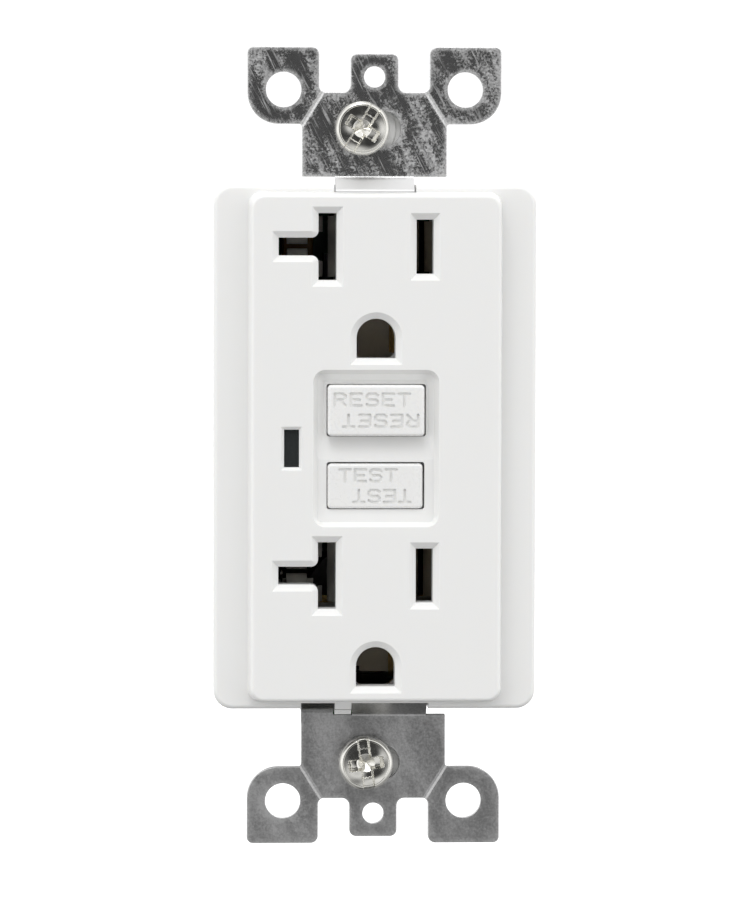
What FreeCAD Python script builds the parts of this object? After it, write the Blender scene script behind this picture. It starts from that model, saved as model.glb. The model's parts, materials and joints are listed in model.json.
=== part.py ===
"""Duplex 20 A ground-fault receptacle: a wall outlet with two buttons, built as its separate pieces.

Frame, in millimetres: +X right, +Z up, -Y towards the person who plugs something in.
The origin is the middle of the mounting strap, on its back plane, which lies on the wall.
"""
import FreeCAD
import Part
import math
import os

V = FreeCAD.Vector

# ---------------------------------------------------------------- driving dimensions
# Standard device dimensions
PLATE_SCREW_SPAN = 96.84        # between the two tapped holes for the cover plate's screws
BOX_SCREW_SPAN = 83.34          # between the two oval slots for the box screws
BLADE_SPAN = 12.7               # between the hot and the neutral blade
PIN_DROP = 11.9                 # from the blades' middle down to the ground pin's axis
OUTLET_PITCH = 42.84            # from the upper outlet to the lower one
UPPER_BLADES_Z = 26.24          # the upper outlet's blade middle, above the origin

# Front-to-back levels
STRAP_T = 1.2                   # strap sheet thickness, from -STRAP_T to 0 at the ears
JOG = 1.8                       # how far the strap's middle stands in front of its ears
FACE_Y = -7.8                   # front of the raised face
FLANGE_Y = -4.2                 # front of the lower tier round the face
PARTING_Y = 1.0                 # where cover and back body meet
BODY_BACK_Y = 27.0              # back of the body
FACE_T = 1.6                    # thickness of the raised face
WALL = 1.5                      # side walls

# Outlines across the front
BODY_W, BODY_H, BODY_R = 42.2, 68.6, 2.5
BACK_W = 41.2                   # the back body is a step narrower than the cover
FACE_W, FACE_H, FACE_R = 32.5, 66.0, 1.7
FACE_DRAFT = 0.45               # how much the raised face widens on each side, down to the flange
RECESS_W, RECESS_H, RECESS_R, RECESS_DEPTH = 16.4, 20.5, 1.6, 1.3
DISH_DEPTH, DISH_SIDE = 1.75, 0.75      # the deeper part of the recess, and the width of its slopes
DISH_Z = (-1.5, 1.4)            # start and end of its long slope
RESET_Z, TEST_Z = 4.95, -4.93   # middle of each button
RESET_TOP_Y, TEST_TOP_Y = FACE_Y - 0.2, FACE_Y + 0.9
SKIRT_Y = (-4.7, -3.9)          # the rim that keeps a button in its window
# Spans (x0, x1, z0, z1) of the caps, and of the windows that they stand in
RESET_CAP, TEST_CAP = (-6.3, 6.28, 1.62, 8.27), (-6.29, 6.11, -7.86, -2.0)
RESET_WINDOW, TEST_WINDOW = (-6.4, 6.57, 1.5, 8.35), (-6.4, 6.36, -7.96, -1.8)
RESET_TRAVEL, TEST_TRAVEL = 2.2, 1.3

# Strap outline
EAR_X, EAR_TOP_Z, EAR_LOW_Z, EAR_INNER_X = 16.65, 52.33, 42.25, 7.25
PLATE_X, PLATE_TOP_Z, SHOULDER_Z = 9.5, 46.4, 35.35
TONGUE_X, TONGUE_TOP_Z = 3.13, 51.45
EAR_HOLE_X, EAR_HOLE_Z, EAR_HOLE_R = 11.91, 46.75, 2.33
PLATE_HOLE_R = 1.4
GROOVE_HALF_W, GROOVE_DEPTH = 0.3, 0.16     # of the grooves along which an ear is broken off
SLOT_HALF_L, SLOT_R = 3.5, 2.3
NECK_X = 5.18                   # half width of the upper neck
LOW_NECK_X = (-2.8, 6.96)       # the lower neck's two edges
GROUND_TAB_X = (-9.5, -5.3)     # the flat strip that carries the ground screw's leg
LEG_Z = (-35.0, -33.8)          # that leg's two faces
BAR_X = 3.3                     # half width of the strap between the blade slots
WINDOW_X, WINDOW_Z = 7.7, 9.75  # half size of the strap's window for the buttons

# Blade and pin openings
HOT_W, HOT_H = 2.22, 7.05
NEUTRAL_W, NEUTRAL_H = 2.35, 8.7
T_ARM_END_X, T_ARM_H, T_FILLET = -12.7, 2.33, 0.9
PIN_R, PIN_H = 2.55, 5.15
PIN_CLEAR_R = 3.3               # hole in the strap round a ground pin
RIVET_R, RIVET_RISE = 0.92, 4.75        # the rivet above it
SLOT_BEVEL = 0.85
LED_X, LED_W, LED_H, LED_BEVEL = -11.0, 1.95, 4.9, 0.4

# Terminals
TERMINAL_Z = 17.5               # line pair below the middle, load pair above it
TERMINAL_Y = 9.6
POCKET_X = 14.2                 # floor of the pocket in the side
TERMINAL_T = 1.0
CLAMP_X, CLAMP_T = 17.5, 1.0    # inner face of a clamp plate that stands open
SCREW_HEAD_R, SCREW_HEAD_T = 3.85, 2.1
SCREW_SHANK_R = 2.0
POCKET_HALF_Z, POCKET_BACK_Y = 5.6, 15.1
TERMINAL_TAB_Z = (-4.6, -2.5)   # the tab beside the screw that leads inwards, from the screw's axis
WIRE_HOLE_R, WIRE_HOLE_DZ = 1.35, 3.3
WIRE_HOLE_X = (POCKET_X + TERMINAL_T + CLAMP_X) / 2

# Inside
BOARD_Y, BOARD_T = 19.5, 1.6
FRAME_FRONT_Y, FRAME_BACK_Y = -1.7, 8.0
STRIP_Y, STRIP_T = 6.2, 0.8
LEAF_T, LEAF_LEAN = 0.5, 1.1     # the contact leaves' sheet, and how far each leans over its blade's way
LINE_BAR_Y, TRANSFORMER_Z = 8.25, -22.0
PAD_Y, PAD_GAP = 10.6, 0.05     # back of the fixed contacts, and the gap left to the moving ones
ARM_Y, ARM_T, ARM_X = 11.31, 0.5, 10.0
ARM_HINGE_Z, PAD_Z, PAD_R = -8.0, 9.0, 1.3
LATCH_PLATE_Y, LATCH_PLATE_T = 12.0, 0.6
BLOCK_Y = (9.6, 14.2)           # front and back of the latch block while the contacts are closed
SOLENOID_Y, SOLENOID_Z = 13.5, (12.4, 24.0)
PLUNGER_HEAD_Z = 29.4
LATCH_PLATE_TOP_Z = RESET_Z + 4.3
LATCH_SPRING_X, LATCH_SPRING_END_Y = 3.9, 11.4
TEST_BLADE_Y, TEST_HINGE_X = 9.1, -6.65
GROUND_SCREW_X, GROUND_SCREW_Y = -5.4, 7.0
GROUND_WASHER_Z, HEX_FLATS = -35.3, 7.0
ASSEMBLY_X, ASSEMBLY_Z = 17.2, 30.5

# Box screws, as they hang in their slots
BOX_SCREW_R, BOX_HEAD_R, BOX_HEAD_T, BOX_SCREW_L = 1.74, 3.55, 2.3, 27.0
BOX_NECK_R, BOX_NECK_L = 1.5, 4.2       # undercut that the captive washer turns on
UPPER_SCREW_X, UPPER_SCREW_TURN = -1.65, 58.0
LOWER_SCREW_X, LOWER_SCREW_TURN = -1.0, 98.0
WASHER_R = 5.3

LOWER_BLADES_Z = UPPER_BLADES_Z - OUTLET_PITCH
OUTLETS_Z = (UPPER_BLADES_Z, LOWER_BLADES_Z)
PINS_Z = tuple(z - PIN_DROP for z in OUTLETS_Z)
STRAP_IN_FRONT, STRAP_IN_BACK = -STRAP_T - JOG, -JOG
HX = BLADE_SPAN / 2

NODES = {}


# ---------------------------------------------------------------- helpers
def box(x0, x1, y0, y1, z0, z1):
    return Part.makeBox(x1 - x0, y1 - y0, z1 - z0, V(x0, y0, z0))


def side_box(side, near, far, y0, y1, z0, z1):
    """A box on one side of the middle plane: near and far count outwards from X = 0."""
    x0, x1 = sorted((side * near, side * far))
    return box(x0, x1, y0, y1, z0, z1)


def rod(radius, start, end):
    """Round bar from start to end."""
    a, b = V(*start), V(*end)
    return Part.makeCylinder(radius, (b - a).Length, a, b - a)


def rod_x(radius, y, z, x0, x1):
    return rod(radius, (x0, y, z), (x1, y, z))


def rod_y(radius, x, z, y0, y1):
    return rod(radius, (x, y0, z), (x, y1, z))


def rod_z(radius, x, y, z0, z1):
    return rod(radius, (x, y, z0), (x, y, z1))


def cone(r0, r1, start, end):
    a, b = V(*start), V(*end)
    return Part.makeCone(r0, r1, (b - a).Length, a, b - a)


def fuse(shapes):
    shapes = list(shapes)
    whole = shapes[0].multiFuse(shapes[1:]) if len(shapes) > 1 else shapes[0]
    return whole.removeSplitter()


def cut(base, *tools):
    return base.cut(Part.makeCompound(list(tools)))


def outline(points, to_vector):
    """Closed face through (u, v, corner radius) points; a radius of 0 leaves the corner sharp."""
    flat = [V(p[0], p[1], 0) for p in points]
    edges, count, starts, ends, arcs = [], len(points), [], [], []
    for i, here in enumerate(flat):
        radius = points[i][2] if len(points[i]) > 2 else 0
        back = (flat[i - 1] - here).normalize()
        ahead = (flat[(i + 1) % count] - here).normalize()
        if radius <= 0:
            starts.append(here)
            ends.append(here)
            arcs.append(None)
            continue
        half = back.getAngle(ahead) / 2
        reach = radius / math.tan(half)
        middle = (back + ahead).normalize()
        centre = here + middle * (radius / math.sin(half))
        starts.append(here + back * reach)
        ends.append(here + ahead * reach)
        arcs.append(centre - middle * radius)
    for i in range(count):
        if arcs[i] is not None:
            edges.append(Part.Arc(*[to_vector(p) for p in (starts[i], arcs[i], ends[i])]).toShape())
        following = starts[(i + 1) % count]
        if (following - ends[i]).Length > 1e-6:
            edges.append(Part.LineSegment(to_vector(ends[i]), to_vector(following)).toShape())
    return Part.Face(Part.Wire(edges))


def slab_xz(points, y0, y1):
    """An outline in X and Z, thickened from y0 to y1."""
    return outline(points, lambda p: V(p.x, y0, p.y)).extrude(V(0, y1 - y0, 0))


def slab_yz(points, x0, x1):
    return outline(points, lambda p: V(x0, p.x, p.y)).extrude(V(x1 - x0, 0, 0))


def slab_xy(points, z0, z1):
    return outline(points, lambda p: V(p.x, p.y, z0)).extrude(V(0, 0, z1 - z0))


def rect(x0, x1, z0, z1, radius=0.0):
    return [(x0, z0, radius), (x1, z0, radius), (x1, z1, radius), (x0, z1, radius)]


def corners_of(x, z):
    """The four points at plus or minus x and z."""
    return [(sx * x, sz * z) for sx in (-1, 1) for sz in (-1, 1)]


def grown_prism(points, growth, y0, y1):
    """An outline in X and Z, grown by an offset and thickened from y0 to y1."""
    wire = outline(points, lambda p: V(p.x, y0, p.y)).OuterWire.makeOffset2D(growth, 2, False, False)
    return Part.Face(wire).extrude(V(0, y1 - y0, 0))


def frustum(points_front, y_front, points_back, y_back):
    """A solid that tapers from one outline to another along Y."""
    front = outline(points_front, lambda p: V(p.x, y_front, p.y)).OuterWire
    back = outline(points_back, lambda p: V(p.x, y_back, p.y)).OuterWire
    return Part.makeLoft([front, back], True, True)


def mirror_x(shape):
    return shape.mirror(V(0, 0, 0), V(1, 0, 0))


def mirror_z(shape):
    return shape.mirror(V(0, 0, 0), V(0, 0, 1))


def soften(shape, radius, wanted):
    """Rounds the edges that wanted() picks by their bounding box."""
    edges = [e for e in shape.Edges if wanted(e.BoundBox)]
    return shape.makeFillet(radius, edges)


def flat_at_y(y):
    """Picks edges that lie on the plane Y = y."""
    return lambda b: abs(b.YMin - y) < 1e-4 and abs(b.YMax - y) < 1e-4


def funnel(points, bevel, y0, depth):
    """A slot through the face with mitred 45 degree sides at its mouth, as a cutting tool.

    points lists the slot's corners as (x, z, radius), in order; the mouth is that outline grown by bevel.
    """
    inner = slab_xz(points, y0 - 0.01, y0 + depth)
    base = outline(points, lambda p: V(p.x, y0 + bevel, p.y))
    mouth = base.OuterWire.makeOffset2D(bevel, 2, False, False)
    mouth.translate(V(0, -bevel, 0))
    ramp = Part.makeLoft([mouth, base.OuterWire], True, True)
    return inner.fuse(ramp)


# ---------------------------------------------------------------- openings for blades and pins
def t_slot_points(z):
    left, right = -HX - NEUTRAL_W / 2, -HX + NEUTRAL_W / 2
    arm, tall = T_ARM_H / 2, NEUTRAL_H / 2
    return [(right, z - tall), (right, z + tall), (left, z + tall), (left, z + arm, T_FILLET),
            (T_ARM_END_X, z + arm), (T_ARM_END_X, z - arm), (left, z - arm, T_FILLET), (left, z - tall)]


def hot_slot_points(z):
    return rect(HX - HOT_W / 2, HX + HOT_W / 2, z - HOT_H / 2, z + HOT_H / 2)


def pin_points(pin_z):
    """The ground opening: flat below, half round above."""
    low = pin_z - (PIN_H - PIN_R)
    return [(-PIN_R, low), (PIN_R, low), (PIN_R, pin_z + PIN_R, PIN_R - 0.002),
            (-PIN_R, pin_z + PIN_R, PIN_R - 0.002)]


# ---------------------------------------------------------------- lettering on the buttons
LETTER_H, LETTER_W, STROKE, LETTER_DEPTH = 1.9, 1.75, 0.36, 0.25


def stroke(x0, z0, x1, z1, y0, y1):
    """A round-ended stroke of a letter, from one point to the other."""
    a, b = V(x0, 0, z0), V(x1, 0, z1)
    along = (b - a).normalize()
    side = V(-along.z, 0, along.x) * (STROKE / 2)
    corners = [(p.x, p.z) for p in (a + side, b + side, b - side, a - side)]
    bar = slab_xz(corners, y0, y1)
    ends = [rod(STROKE / 2, (p.x, y0, p.z), (p.x, y1, p.z)) for p in (a, b)]
    return bar.multiFuse(ends)


def letter(kind):
    """Points of each stroke of a letter, in a cell LETTER_W wide and LETTER_H tall."""
    w, h = LETTER_W - STROKE, LETTER_H - STROKE
    mid, cant = h / 2, 0.25
    return {
        "E": [[(w, 0), (0, 0), (0, h), (w, h)], [(0, mid), (0.8 * w, mid)]],
        "T": [[(0, h), (w, h)], [(w / 2, 0), (w / 2, h)]],
        "R": [[(0, 0), (0, h), (0.75 * w, h), (w, h - cant), (w, mid + cant), (0.75 * w, mid), (0, mid)],
              [(0.5 * w, mid), (w, 0)]],
        "S": [[(0, 0.2), (cant, 0), (w - cant, 0), (w, cant), (w, mid - 0.2), (w - cant, mid), (cant, mid),
               (0, mid + 0.2), (0, h - cant), (cant, h), (w - cant, h), (w, h - 0.2)]],
    }[kind]


def word(text, x_left, z_low, top_y, pitch, upside_down=False):
    """Cutting tool that engraves a word; upside down it reads from the other side of the device."""
    pieces = []
    for i, kind in enumerate(text):
        for line in letter(kind):
            places = [(x_left + i * pitch + x, z_low + z) for x, z in line]
            pieces += [stroke(*a, *b, top_y - 1, top_y + LETTER_DEPTH) for a, b in zip(places, places[1:])]
    whole = pieces[0].multiFuse(pieces[1:])
    if upside_down:
        wide = (len(text) - 1) * pitch + LETTER_W - STROKE
        middle = V(x_left + wide / 2, 0, z_low + (LETTER_H - STROKE) / 2)
        whole.rotate(middle, V(0, 1, 0), 180)
    return whole


# ---------------------------------------------------------------- housing
def cover_shell():
    """The lower tier and the raised face, hollow behind."""
    body_x, body_z, face_x, face_z = BODY_W / 2, BODY_H / 2, FACE_W / 2, FACE_H / 2
    tier = slab_xz(rect(-body_x, body_x, -body_z, body_z, BODY_R), FLANGE_Y, PARTING_Y - 0.05)
    tier = soften(tier, 0.6, flat_at_y(FLANGE_Y))
    foot_x, foot_z = face_x + FACE_DRAFT, face_z + FACE_DRAFT
    foot = rect(-foot_x, foot_x, -foot_z, foot_z, FACE_R)
    face = frustum(rect(-face_x, face_x, -face_z, face_z, FACE_R), FACE_Y, foot, FLANGE_Y + 0.9)
    face = soften(face, 0.5, flat_at_y(FACE_Y))
    low_x, low_z, in_x, in_z = body_x - WALL, body_z - WALL, face_x - WALL, face_z - WALL
    hollow = slab_xz(rect(-in_x, in_x, -in_z, in_z, 1.0), FACE_Y + FACE_T, -2.0)
    low_hollow = slab_xz(rect(-low_x, low_x, -low_z, low_z, 1.5), FLANGE_Y + 1.1, PARTING_Y + 1)
    return cut(tier.fuse(face), hollow, low_hollow)


def guide_tubes():
    """Walls behind the face that lead each blade and pin, and the openings through them."""
    tubes, openings = [], []
    for z, pin_z in zip(OUTLETS_Z, PINS_Z):
        for points in (t_slot_points(z), hot_slot_points(z), pin_points(pin_z)):
            tubes.append(grown_prism(points, 0.8, FACE_Y + 1, STRAP_IN_FRONT - 0.6))
            openings.append(funnel(points, SLOT_BEVEL, FACE_Y, 8))
    return tubes, openings


def button_recess():
    """Bevelled recess round both buttons, dished a little deeper round the upper one."""
    rx, rz, bevel, corner = RECESS_W / 2, RECESS_H / 2, 0.6, 0.6
    in_x, in_z = rx - bevel, rz - bevel
    floor_y = FACE_Y + RECESS_DEPTH
    floor = rect(-in_x, in_x, -in_z, in_z, corner)
    recess = frustum(rect(-rx, rx, -rz, rz, RECESS_R), FACE_Y - 0.001, floor, floor_y)
    dish_mouth = rect(-in_x, in_x, DISH_Z[0], in_z, corner)
    dish_x, dish_top = in_x - DISH_SIDE, in_z - DISH_SIDE
    dish_floor = rect(-dish_x, dish_x, DISH_Z[1], dish_top, corner)
    return recess, frustum(dish_mouth, floor_y - 0.001, dish_floor, FACE_Y + DISH_DEPTH)


def button_windows():
    """Openings for the caps, which stand a little to the left in them."""
    return [slab_xz(rect(*window, 0.35), FACE_Y, 0) for window in (RESET_WINDOW, TEST_WINDOW)]


def strap_ways():
    """Openings in the cover's end walls for the strap's necks."""
    front, back, end = STRAP_IN_FRONT - 0.08, PARTING_Y + 1, BODY_H / 2
    upper, lower = (-NECK_X - 0.18, NECK_X + 0.18), (GROUND_TAB_X[0] - 0.1, LOW_NECK_X[1] + 0.15)
    return [box(*upper, front, back, end - 2.6, end + 1),
            box(*upper, FLANGE_Y - 1, 0, end - 1.0, end + 1),
            box(*lower, front, back, -end - 1, -end + 2.6),
            box(*lower, FLANGE_Y - 1, 0, -end - 1, -end + 0.75)]


def snap_hook():
    """Hook of the cover that shows between the strap's ground strip and its neck."""
    x0, x1 = GROUND_TAB_X[1] + 0.17, LOW_NECK_X[0] - 0.17
    arm = box(x0, x1, FLANGE_Y + 0.7, 0.9, -34.45, -32.9)
    nose = box(x0, x1, FLANGE_Y + 2.0, 0.9, -35.2, -34.3)
    return cut(fuse([arm, nose]), box(x0 - 1, x1 + 1, FLANGE_Y, FLANGE_Y + 3.4, -34.64, -34.44))


def front_cover():
    body_x, body_z = BODY_W / 2, BODY_H / 2
    tubes, openings = guide_tubes()
    well = box(-9.4, 9.4, FACE_Y + 1, FACE_Y + 3.0, -11.9, 11.9)
    inside = slab_xz(rect(-body_x, body_x, -body_z, body_z, BODY_R), FLANGE_Y + 0.9, PARTING_Y)
    places = corners_of(ASSEMBLY_X, ASSEMBLY_Z)
    bosses = [rod_y(2.9, x, z, FLANGE_Y + 1, PARTING_Y - 0.05).common(inside) for x, z in places]
    holes = [rod_y(1.45, x, z, -2.9, PARTING_Y + 1) for x, z in places]
    led = rect(LED_X - LED_W / 2, LED_X + LED_W / 2, -LED_H / 2, LED_H / 2)
    cover = fuse([cover_shell(), well, *tubes, *bosses])
    cover = cut(cover, *button_recess(), *button_windows(), *strap_ways(), *holes,
                funnel(led, LED_BEVEL, FACE_Y, 4), *openings)
    return fuse([cover, snap_hook()])


def terminal_pocket(sx, z, y0, y1):
    """Walls and cuts of one side pocket, with ways for its screw, two wires and the terminal's tab."""
    inner = BACK_W / 2 - WALL + 0.1
    half = POCKET_HALF_Z
    tab_z = [z + TERMINAL_TAB_Z[0] - 0.3, z + TERMINAL_TAB_Z[1] + 0.3]
    added = [side_box(sx, POCKET_X - 1.2, inner, y0, POCKET_BACK_Y + 1.2, z - half - 1.2, z + half + 1.2),
             side_box(sx, POCKET_X - 1.2, inner, POCKET_BACK_Y, y1 - 1, z - 5.2, z + 5.2)]
    removed = [side_box(sx, POCKET_X, BACK_W / 2 + 1, y0 - 1, POCKET_BACK_Y, z - half, z + half),
               rod_x(SCREW_SHANK_R + 0.3, TERMINAL_Y, z, sx * 9, sx * POCKET_X),
               side_box(sx, 12, POCKET_X + 0.1, 5.8, 9.4, *tab_z)]
    at = sx * WIRE_HOLE_X
    for dz in (-WIRE_HOLE_DZ, WIRE_HOLE_DZ):
        removed.append(rod_y(WIRE_HOLE_R, at, z + dz, POCKET_BACK_Y - 1, y1 + 1))
        removed.append(cone(2.35, WIRE_HOLE_R - 0.05, (at, y1 + 0.001, z + dz), (at, y1 - 1.1, z + dz)))
    return added, removed


def screw_post(x, z, y0, y1):
    """A post round an assembly screw, its hole, and the deep counterbore for the head."""
    holes = [rod_y(1.6, x, z, y0 - 1, y1 + 1), rod_y(2.9, x, z, y1 - 2.4, y1 + 1)]
    return rod_y(3.0, x, z, y0, y1 - 1), holes


def back_marks(y1):
    """Shallow shapes in the back wall: a blank label field, a strip gauge and five vent slots."""
    marks = [slab_xz(rect(-9.5, 9.5, -9, 9, 1.2), y1 - 0.35, y1 + 1),
             slab_xz(rect(-10.5, 10.5, 24.2, 25.8, 0.79), y1 - 0.5, y1 + 1)]
    for i in range(5):
        marks.append(slab_xz(rect(-6.6 + 3 * i, -5.4 + 3 * i, -29.5, -22.5, 0.55), y1 - 3, y1 + 1))
    return marks


def finger_ridges(sx):
    wall, first_y, pitch = BACK_W / 2, 16.4, 1.4
    starts = [first_y + pitch * i for i in range(7)]
    return [side_box(sx, wall - 0.35, wall + 1, y, y + pitch / 2, -8.5, 8.5) for y in starts]


def back_body():
    body_x, body_z = BACK_W / 2, BODY_H / 2
    y0, y1 = PARTING_Y + 0.05, BODY_BACK_Y
    shell = slab_xz(rect(-body_x, body_x, -body_z, body_z, BODY_R), y0, y1)
    shell = soften(shell, 1.4, flat_at_y(y1))
    in_x, in_z = body_x - WALL, body_z - WALL
    shell = cut(shell, slab_xz(rect(-in_x, in_x, -in_z, in_z, 1.5), y0 - 1, y1 - 1.8))
    added, removed = [], []
    for sx, z in corners_of(1, TERMINAL_Z):
        walls, cuts = terminal_pocket(sx, z, y0, y1)
        added += walls
        removed += cuts
    for x, z in corners_of(ASSEMBLY_X, ASSEMBLY_Z):
        post, cuts = screw_post(x, z, y0, y1)
        added.append(post)
        removed += cuts
    trim_x, trim_z = body_x - 0.3, body_z - 0.3
    inside = slab_xz(rect(-trim_x, trim_x, -trim_z, trim_z, BODY_R), y0, y1 - 0.5)
    added = [a.common(inside) for a in added]
    # Ledges that the circuit board stands on
    ledge = BOARD_Y + BOARD_T + 0.05
    added += [box(-9, 9, ledge, y1 - 1, sz * 32 - 1.2, sz * 32 + 1.2) for sz in (-1, 1)]
    added += [box(sx * 12.2 - 0.7, sx * 12.2 + 0.7, ledge, y1 - 1, -7, 7) for sx in (-1, 1)]
    # Recess for the ground leg on the lower end, and the hole for its screw
    removed.append(box(-9.7, -1.2, y0 - 1, 12.0, -body_z - 1, -body_z + 0.7))
    removed.append(rod_z(2.4, GROUND_SCREW_X, GROUND_SCREW_Y, -body_z - 1, -30.5))
    removed += back_marks(y1)
    removed += finger_ridges(-1) + finger_ridges(1)
    return cut(fuse([shell, *added]), *removed)


def mid_frame():
    """Inner frame between the strap and the back: it holds the contact strips and guides the buttons."""
    y0, y1 = FRAME_FRONT_Y, FRAME_BACK_Y
    plate = slab_xz(rect(-19.3, 19.3, -26.9, 26.9, 1.0), y0, PARTING_Y - 0.2)
    core = slab_xz(rect(-12.8, 12.8, -30.3, 32.4, 1.0), y0, y1)
    tools = []
    for z, pin_z in zip(OUTLETS_Z, PINS_Z):
        for points in (t_slot_points(z), hot_slot_points(z)):
            tools.append(grown_prism(points, 0.25, y0 - 1, y0 + 11))
        tools += [side_box(sx, 4.0, 12.0, -0.7, y1 + 1, z - 5.3, z + 5.7) for sx in (-1, 1)]
        tools.append(box(-4.9, 4.9, y0 - 1, -0.3, pin_z - 3.9, pin_z + 6.8))
        tools.append(box(-3.9, 3.9, y0 - 1, 6.4, pin_z - 2.9, pin_z + 2.9))
    for sx in (-1, 1):
        tools.append(side_box(sx, 7.4, 12.0, 1.2, y1 + 1, -21.9, 31.9))
        # Ways out for the load terminal's tab and for the line terminal's screw
        tools.append(side_box(sx, 11, 14, 5.2, y1 + 1, TERMINAL_Z - 5.0, TERMINAL_Z + 2.8))
        tools.append(side_box(sx, 11, 14, 6.8, y1 + 1, -TERMINAL_Z - 2.8, -TERMINAL_Z + 2.8))
    # Pocket in which the buttons' rims travel, spring well, shaft hole, test stem hole and indicator pocket
    rim_stop = SKIRT_Y[1] + RESET_TRAVEL + 1.3
    tools.append(slab_xz(rect(-7.6, 7.6, -9.4, 9.6, 0.6), y0 - 1, rim_stop))
    tools.append(rod_y(2.7, 0, RESET_Z, -1, 4.0))
    tools.append(rod_y(1.5, 0, RESET_Z, 0, 10))
    tools.append(rod_y(1.3, 0, TEST_Z, -1, 10))
    tools.append(box(LED_X - 1.2, LED_X + 1.2, y0 - 1, 5.2, -2.9, 2.9))
    tools.append(box(LED_X, -6.0, 4.4, y1 + 1, -2.9, 0.4))
    # Room for the ground screw's end
    tools.append(box(-9, -1.5, 3.2, y1 + 1, -31, -29.6))
    return cut(fuse([plate, core]), *tools)


# ---------------------------------------------------------------- strap and ground path
def ramp(x0, x1):
    """The sloping neck between the strap's ear plate and its middle, at the upper end."""
    run = STRAP_T * math.tan(math.radians(22.5))
    top, low = 36.2, 31.5
    bend_a, bend_b = SHOULDER_Z, SHOULDER_Z - JOG
    front = [(-STRAP_T, top), (-STRAP_T, bend_a, 0.4), (STRAP_IN_FRONT, bend_b, 0.5), (STRAP_IN_FRONT, low)]
    back = [(STRAP_IN_BACK, low), (STRAP_IN_BACK, bend_b + run, 1.0), (0, bend_a + run, 0.4), (0, top)]
    return slab_yz(front + back, x0, x1)


def snap_grooves(sx):
    """V grooves in both faces of the strap, along which an ear is broken off."""
    start, end = V(sx * 6.3, 0, 47.25), V(sx * 9.95, 0, 41.4)
    across = V(start.z - end.z, 0, end.x - start.x).normalize() * GROOVE_HALF_W
    made = []
    for face, inward in ((-STRAP_T, GROOVE_DEPTH), (0, -GROOVE_DEPTH)):
        mouth = V(0, face - math.copysign(0.001, inward), 0)
        corners = [start + across + mouth, start - across + mouth, start + mouth + V(0, inward, 0)]
        made.append(Part.Face(Part.makePolygon(corners + corners[:1])).extrude(end - start))
    return made


def ear_plate():
    """The upper end of the strap with its two ears, its tongue and its holes."""
    half = [(-PLATE_X, SHOULDER_Z, 0.2), (-PLATE_X, EAR_LOW_Z, 0.35), (-EAR_X, EAR_LOW_Z, 4.1),
            (-EAR_X, EAR_TOP_Z, 0.8), (-EAR_INNER_X, EAR_TOP_Z, 1.0), (-EAR_INNER_X, PLATE_TOP_Z, 0.8),
            (-TONGUE_X, PLATE_TOP_Z, 1.0), (-TONGUE_X, TONGUE_TOP_Z, 0.9)]
    points = half + [(-x, z, r) for x, z, r in reversed(half)]
    plate = slab_xz(points, -STRAP_T, 0)
    plate = soften(plate, 0.12, lambda b: abs(b.YMax - b.YMin) < 1e-4)
    slot_z = BOX_SCREW_SPAN / 2
    slot = rect(-SLOT_HALF_L, SLOT_HALF_L, slot_z - SLOT_R, slot_z + SLOT_R, SLOT_R - 0.001)
    tools = [rod_y(PLATE_HOLE_R, 0, PLATE_SCREW_SPAN / 2, -3, 1), slab_xz(slot, -3, 1)]
    for sx in (-1, 1):
        tools.append(rod_y(EAR_HOLE_R, sx * EAR_HOLE_X, EAR_HOLE_Z, -3, 1))
        tools += snap_grooves(sx)
    return cut(plate, *tools)


def strap_middle():
    """Bars between the slots, rings round the ground holes, and a window for the buttons."""
    upper_pin, lower_pin = PINS_Z
    front, back = STRAP_IN_FRONT, STRAP_IN_BACK
    outlines = [rect(-NECK_X, NECK_X, 31.4, 33.0), rect(-BAR_X, BAR_X, 18, 32),
                rect(-4.8, 4.8, 10.2, upper_pin + 6.2, 0.8), rect(-9.3, 9.3, -11.5, 11.5, 1.2),
                rect(-BAR_X, BAR_X, -24, -11), rect(-4.8, 4.8, -32.8, lower_pin + 6.2, 0.8),
                rect(*LOW_NECK_X, -33.0, -31.4)]
    flat = fuse([slab_xz(points, front, back) for points in outlines])
    window = slab_xz(rect(-WINDOW_X, WINDOW_X, -WINDOW_Z, WINDOW_Z, 0.8), front - 1, back + 1)
    pin_holes = [rod_y(PIN_CLEAR_R, 0, z, front - 1, back + 1) for z in PINS_Z]
    rivet_holes = [rod_y(RIVET_R + 0.03, 0, z + RIVET_RISE, front - 1, back + 1) for z in PINS_Z]
    return cut(flat, window, *pin_holes, *rivet_holes)


def ground_leg():
    """Strip that runs flat beside the hook, then bends back into the leg that takes the ground screw."""
    x0, x1 = GROUND_TAB_X
    low, high = LEG_Z
    foot, end = -36.5, 11.7
    profile = [(-STRAP_T, foot), (-STRAP_T, high, 1.3), (end, high), (end, low), (0, low, 0.4), (0, foot)]
    bend = slab_yz(profile, x0, x1)
    leg = slab_xy([(x0, 1.4), (-1.4, 1.4, 1.0), (-1.4, end, 1.5), (x0, end, 1.5)], low, high)
    square_end = box(-20, 20, end - 0.7, end + 1.3, low - 1, high + 0.8).cut(leg)
    hole = rod_z(SCREW_SHANK_R + 0.06, GROUND_SCREW_X, GROUND_SCREW_Y, low - 1, high + 0.8)
    return cut(fuse([bend, leg]), square_end, hole)


def mounting_strap():
    def end_plate(x0, x1):
        return cut(ear_plate(), box(x0, x1, -2, 1, SHOULDER_Z - 1, 36.2))
    upper, lower = end_plate(-NECK_X, NECK_X), mirror_z(end_plate(*LOW_NECK_X))
    necks = [ramp(-NECK_X, NECK_X), mirror_z(ramp(*LOW_NECK_X))]
    return fuse([upper, lower, *necks, strap_middle(), ground_leg()])


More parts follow.
